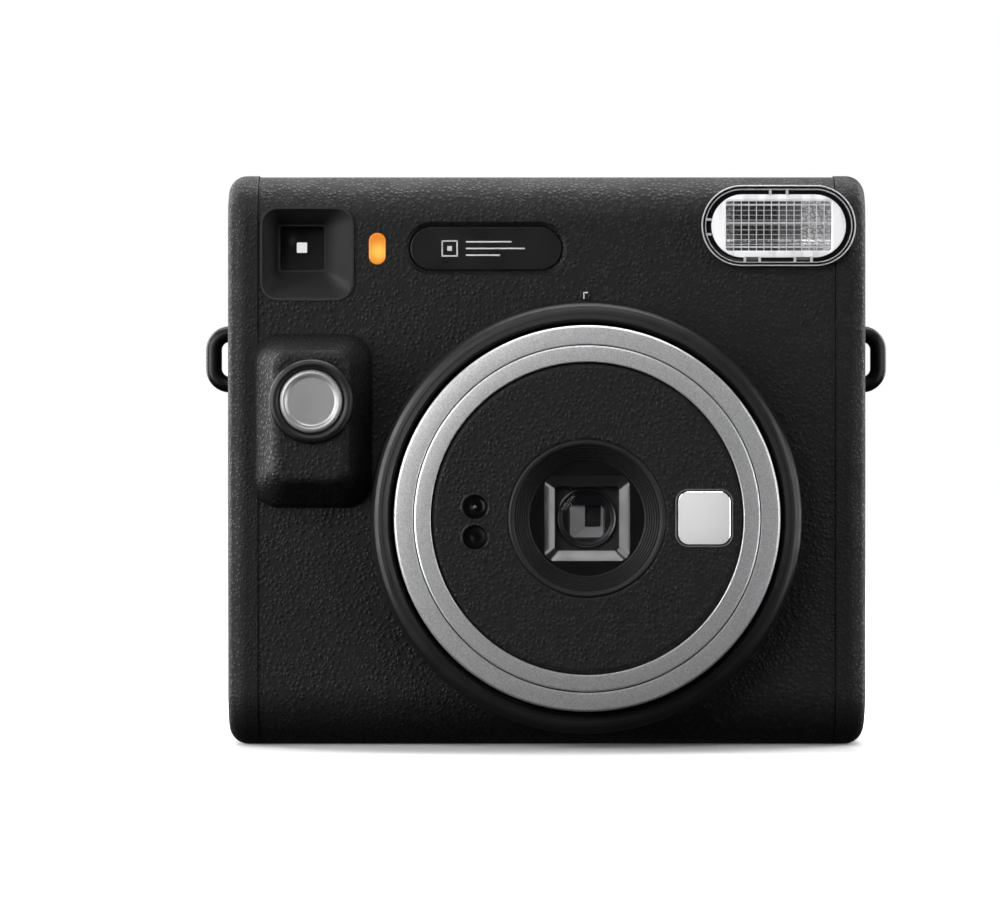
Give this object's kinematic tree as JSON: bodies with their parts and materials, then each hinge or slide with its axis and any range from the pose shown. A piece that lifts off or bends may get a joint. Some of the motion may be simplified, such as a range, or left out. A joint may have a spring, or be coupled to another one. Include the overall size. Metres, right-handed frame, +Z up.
{
  "type": "instant camera",
  "caption": "Square-format instant camera with a turn-to-extend lens, printing roller drive and hinged film door.",
  "frame": {"origin": "middle of the footprint, strap lugs and lens included, on the surface the camera stands on", "axes": "+Z up towards the film exit; the lens looks along -Y and +Y is the film door's side; +X is to the right as seen from the front, the flash's side"},
  "size_m": [0.1452, 0.0606, 0.1202],
  "materials": {
    "black_leatherette": "fine leather grain",
    "black_plastic": "satin",
    "silver": "satin metallic",
    "rubber_foam": "matt",
    "black_felt": "matt",
    "clear": "clear",
    "lens_glass": "coated",
    "dark_window": "tinted",
    "orange_window": "translucent",
    "mirror": "polished",
    "reflector": "bright",
    "black_metal": "satin black",
    "steel": "plain",
    "nameplate": "brushed",
    "gear_plastic": "plain",
    "board_green": "solder mask",
    "film_black": "satin",
    "film_white": "gloss",
    "battery": "printed sleeve"
  },
  "bodies": {
    "housing": {"front_cover": "black_leatherette", "rear_cover": "black_plastic", "left_side_cover": "black_plastic", "right_side_cover": "black_plastic", "film_exit_felt": "black_felt", "viewfinder_bezel": "black_plastic", "viewfinder_lenses": "lens_glass", "viewfinder_tunnel": "black_plastic", "indicator_lens": "orange_window", "nameplate": "nameplate", "flash_window": "clear", "flash_reflector": "reflector", "flash_tube": "lens_glass", "flash_housing": "black_plastic", "shutter_housing": "black_leatherette", "button_collar": "black_plastic", "button_spring": "steel", "strap_lugs": "black_metal", "light_box": "black_plastic", "cam_tube": "black_plastic", "film_chamber": "black_plastic", "film_pack_case": "black_plastic", "film_stack": "film_black", "roller_frame": "black_metal", "film_motor": "steel", "battery_case": "black_plastic", "batteries": "battery", "door_hinge_pin": "steel", "counter_window": "clear", "circuit_board": "board_green", "base_screws": "black_metal"},
    "lens_barrel": {"lens_barrel": "black_plastic", "barrel_trim_ring": "silver", "barrel_retaining_ring": "black_metal", "lens_face_plate": "black_leatherette", "selfie_mirror": "mirror", "sensor_windows": "dark_window", "lens_hood": "black_plastic", "lens_elements": "lens_glass", "shutter_body": "black_plastic", "shutter_cover": "black_plastic"},
    "lens_dial": {"dial_ring": "silver", "dial_tube": "black_plastic"},
    "shutter_blade_left": {"shutter_blade_left": "black_metal"},
    "shutter_blade_right": {"shutter_blade_right": "black_metal"},
    "shutter_button": {"shutter_button": "silver"},
    "back_door": {"back_door": "black_leatherette", "door_window": "dark_window", "door_foam": "rubber_foam"},
    "door_latch": {"door_latch": "black_plastic"},
    "battery_cover": {"battery_cover": "black_plastic"},
    "rear_roller": {"spread_roller_rear": "steel", "roller_gear_rear": "gear_plastic"},
    "front_roller": {"spread_roller_front": "steel", "roller_gear_front": "gear_plastic"},
    "idler_gear": {"idler_gear": "gear_plastic"},
    "motor_pinion": {"motor_pinion": "steel"},
    "film_sheet": {"film_sheet": "film_black"},
    "film_claw": {"film_claw": "steel"},
    "counter_disc": {"counter_disc": "film_white"}
  },
  "joints": [
    {"name": "lens_extend", "type": "slide", "parent": "housing", "child": "lens_barrel", "axis": [0, -1, 0], "range_m": [0, 0.015]},
    {"name": "dial_turn", "type": "hinge", "parent": "lens_barrel", "child": "lens_dial", "pos_m": [0.0082, -0.02, 0.048], "axis": [0, -1, 0], "range_deg": [0, 75]},
    {"name": "blade_left_swing", "type": "hinge", "parent": "lens_barrel", "child": "shutter_blade_left", "pos_m": [-0.0013, -0.0188, 0.041], "axis": [0, -1, 0], "range_deg": [0, 50]},
    {"name": "blade_right_swing", "type": "hinge", "parent": "lens_barrel", "child": "shutter_blade_right", "pos_m": [0.0177, -0.0183, 0.041], "axis": [0, 1, 0], "range_deg": [0, 50]},
    {"name": "button_press", "type": "slide", "parent": "housing", "child": "shutter_button", "axis": [0, 1, 0], "range_m": [0, 0.0012], "stiffness_N_per_m": 600, "springref_m": -0.0015, "deforming": ["button_spring"]},
    {"name": "door_swing", "type": "hinge", "parent": "housing", "child": "back_door", "pos_m": [0.0556, 0.0289, 0.0533], "axis": [0, 0, -1], "range_deg": [0, 110]},
    {"name": "latch_slide", "type": "slide", "parent": "housing", "child": "door_latch", "axis": [0, 0, -1], "range_m": [0, 0.005], "stiffness_N_per_m": 200, "springref_m": -0.002},
    {"name": "battery_cover_swing", "type": "hinge", "parent": "housing", "child": "battery_cover", "pos_m": [-0.066, 0.0245, 0.0285], "axis": [0, 0, -1], "range_deg": [0, 100]},
    {"name": "rear_roller_turn", "type": "hinge", "parent": "housing", "child": "rear_roller", "pos_m": [0.0082, 0.0173, 0.1056], "axis": [-1, 0, 0], "range_deg": [0, 1065]},
    {"name": "front_roller_turn", "type": "hinge", "parent": "housing", "child": "front_roller", "pos_m": [0.0082, 0.0067, 0.1056], "axis": [-1, 0, 0], "range_deg": [-1065, 0]},
    {"name": "idler_turn", "type": "hinge", "parent": "housing", "child": "idler_gear", "pos_m": [0.0525, 0.00886, 0.09658], "axis": [-1, 0, 0], "range_deg": [0, 1420]},
    {"name": "pinion_turn", "type": "hinge", "parent": "housing", "child": "motor_pinion", "pos_m": [0.0505, -0.0016, 0.0918], "axis": [-1, 0, 0], "range_deg": [-5112, 0]},
    {"name": "film_eject", "type": "slide", "parent": "housing", "child": "film_sheet", "axis": [0, 0, 1], "range_m": [0, 0.093]},
    {"name": "claw_lift", "type": "slide", "parent": "housing", "child": "film_claw", "axis": [0, 0, 1], "range_m": [0, 0.009]},
    {"name": "counter_turn", "type": "hinge", "parent": "housing", "child": "counter_disc", "pos_m": [-0.0515, 0.0251, 0.0805], "axis": [0, 1, 0], "range_deg": [0, 324]}
  ],
  "couplings": [
    {"joint": "lens_extend", "follows": "dial_turn", "m_per_rad": 0.011459},
    {"joint": "blade_right_swing", "follows": "blade_left_swing", "ratio": 1},
    {"joint": "front_roller_turn", "follows": "rear_roller_turn", "ratio": -1},
    {"joint": "idler_turn", "follows": "rear_roller_turn", "ratio": 1.3333},
    {"joint": "pinion_turn", "follows": "rear_roller_turn", "ratio": -4.8},
    {"joint": "film_eject", "follows": "rear_roller_turn", "m_per_rad": 0.005},
    {"joint": "claw_lift", "follows": "rear_roller_turn", "m_per_rad": 0.000484}
  ]
}
